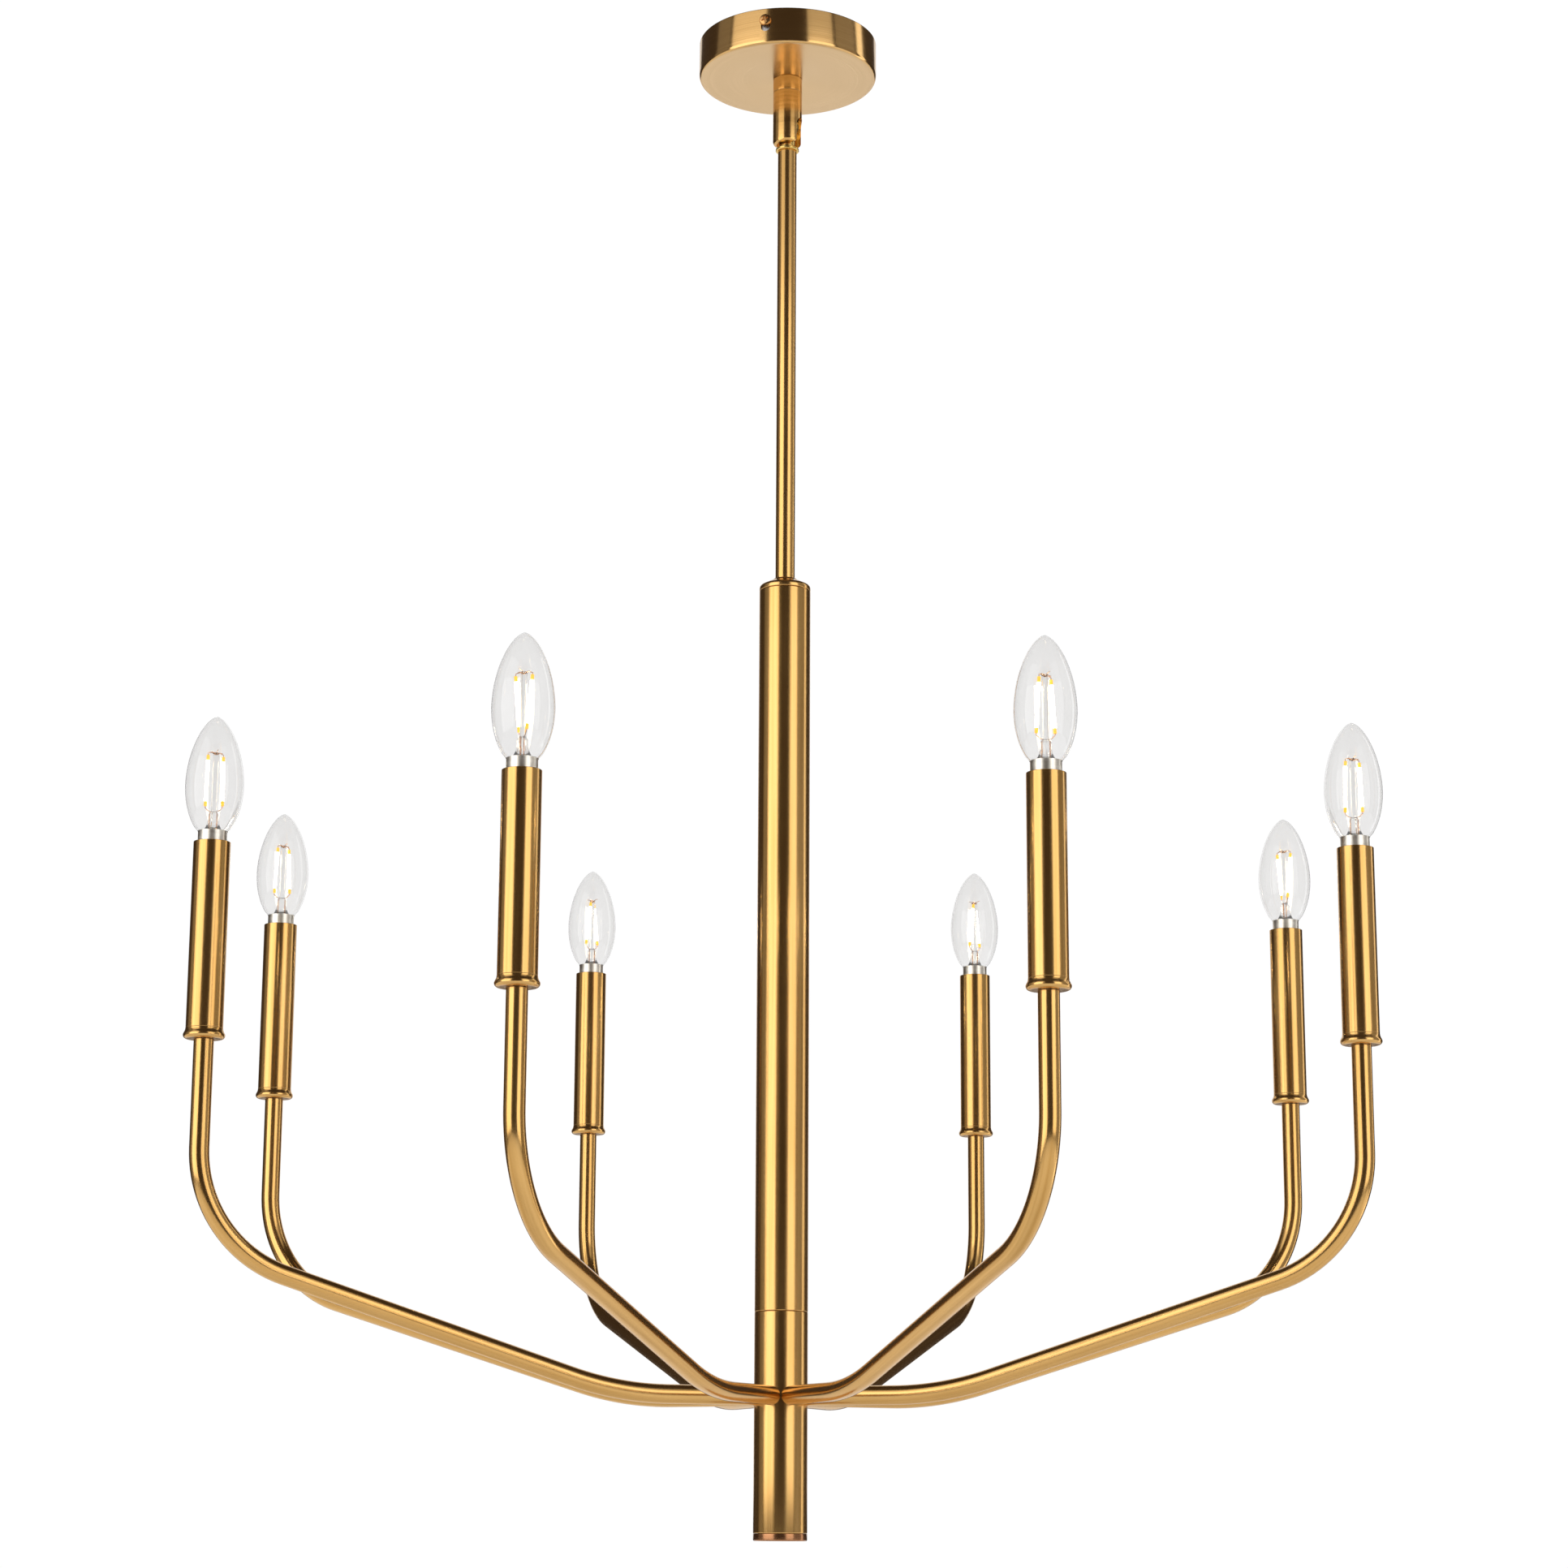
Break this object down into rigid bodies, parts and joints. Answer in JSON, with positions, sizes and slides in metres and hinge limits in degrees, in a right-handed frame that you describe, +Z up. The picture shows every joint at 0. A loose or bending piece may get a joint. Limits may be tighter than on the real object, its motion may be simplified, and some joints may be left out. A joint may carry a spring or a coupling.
{
  "type": "multi arm chandelier",
  "caption": "Candle-style chandelier: a canopy and ball swivel carry a stem and a slim column, and bent arms rise from near its foot to lamps on plain sleeves.",
  "frame": {"origin": "middle of the ceiling strap's upper face, which lies on the ceiling, between the two slots for the box screws", "axes": "+Z up, out of the strap's upper face into the ceiling; +Y along the strap, through both slots; +X towards the swivel's side slot"},
  "size_m": [0.7728, 0.7728, 0.9933],
  "materials": {
    "satin_brass": "brushed satin",
    "copper_tone": "satin",
    "zinc": "zinc plated",
    "lamp_nickel": "polished nickel",
    "bulb_glass": "clear",
    "holder": "moulded",
    "shell_brass": "plain",
    "clear_cable": "smooth",
    "connector": "moulded"
  },
  "bodies": {
    "ceiling_mount": {"ceiling_bracket": "zinc", "canopy": "satin_brass", "canopy_side_screws": "satin_brass", "canopy_nipple": "zinc", "nipple_washer": "zinc", "nipple_locknut": "zinc", "supply_leads": "clear_cable", "wire_connectors": "connector", "swivel_collar": "satin_brass", "swivel_socket": "satin_brass"},
    "ball": {"swivel_ball": "satin_brass"},
    "stem": {"stem_rod": "satin_brass", "column_cap": "satin_brass", "column_tube": "satin_brass", "arm_hub": "satin_brass", "bottom_cap": "copper_tone", "stem_harness": "clear_cable", "lamp_holders": "holder", "holder_shells": "shell_brass", "arm_1": "satin_brass", "arm_2": "satin_brass", "arm_3": "satin_brass", "arm_4": "satin_brass", "arm_5": "satin_brass", "arm_6": "satin_brass", "arm_7": "satin_brass", "arm_8": "satin_brass", "candle_cup_1": "satin_brass", "candle_cup_2": "satin_brass", "candle_cup_3": "satin_brass", "candle_cup_4": "satin_brass", "candle_cup_5": "satin_brass", "candle_cup_6": "satin_brass", "candle_cup_7": "satin_brass", "candle_cup_8": "satin_brass", "candle_sleeve_1": "satin_brass", "candle_sleeve_2": "satin_brass", "candle_sleeve_3": "satin_brass", "candle_sleeve_4": "satin_brass", "candle_sleeve_5": "satin_brass", "candle_sleeve_6": "satin_brass", "candle_sleeve_7": "satin_brass", "candle_sleeve_8": "satin_brass"},
    "lamp_1": {"bulb_glass_1": "bulb_glass", "bulb_base_1": "lamp_nickel"},
    "lamp_2": {"bulb_glass_2": "bulb_glass", "bulb_base_2": "lamp_nickel"},
    "lamp_3": {"bulb_glass_3": "bulb_glass", "bulb_base_3": "lamp_nickel"},
    "lamp_4": {"bulb_glass_4": "bulb_glass", "bulb_base_4": "lamp_nickel"},
    "lamp_5": {"bulb_glass_5": "bulb_glass", "bulb_base_5": "lamp_nickel"},
    "lamp_6": {"bulb_glass_6": "bulb_glass", "bulb_base_6": "lamp_nickel"},
    "lamp_7": {"bulb_glass_7": "bulb_glass", "bulb_base_7": "lamp_nickel"},
    "lamp_8": {"bulb_glass_8": "bulb_glass", "bulb_base_8": "lamp_nickel"}
  },
  "joints": [
    {"name": "stem_swing", "type": "hinge", "parent": "ceiling_mount", "child": "ball", "pos_m": [0, 0, -0.0593], "axis": [0, -1, 0], "range_deg": [-4, 85]},
    {"name": "stem_spin", "type": "hinge", "parent": "ball", "child": "stem", "pos_m": [0, 0, -0.0771], "axis": [0, 0, 1], "range_deg": [-175, 175]},
    {"name": "lamp_1_out", "type": "slide", "parent": "stem", "child": "lamp_1", "axis": [0, 0, 1], "range_m": [0, 0.04]},
    {"name": "lamp_2_out", "type": "slide", "parent": "stem", "child": "lamp_2", "axis": [0, 0, 1], "range_m": [0, 0.04]},
    {"name": "lamp_3_out", "type": "slide", "parent": "stem", "child": "lamp_3", "axis": [0, 0, 1], "range_m": [0, 0.04]},
    {"name": "lamp_4_out", "type": "slide", "parent": "stem", "child": "lamp_4", "axis": [0, 0, 1], "range_m": [0, 0.04]},
    {"name": "lamp_5_out", "type": "slide", "parent": "stem", "child": "lamp_5", "axis": [0, 0, 1], "range_m": [0, 0.04]},
    {"name": "lamp_6_out", "type": "slide", "parent": "stem", "child": "lamp_6", "axis": [0, 0, 1], "range_m": [0, 0.04]},
    {"name": "lamp_7_out", "type": "slide", "parent": "stem", "child": "lamp_7", "axis": [0, 0, 1], "range_m": [0, 0.04]},
    {"name": "lamp_8_out", "type": "slide", "parent": "stem", "child": "lamp_8", "axis": [0, 0, 1], "range_m": [0, 0.04]}
  ]
}
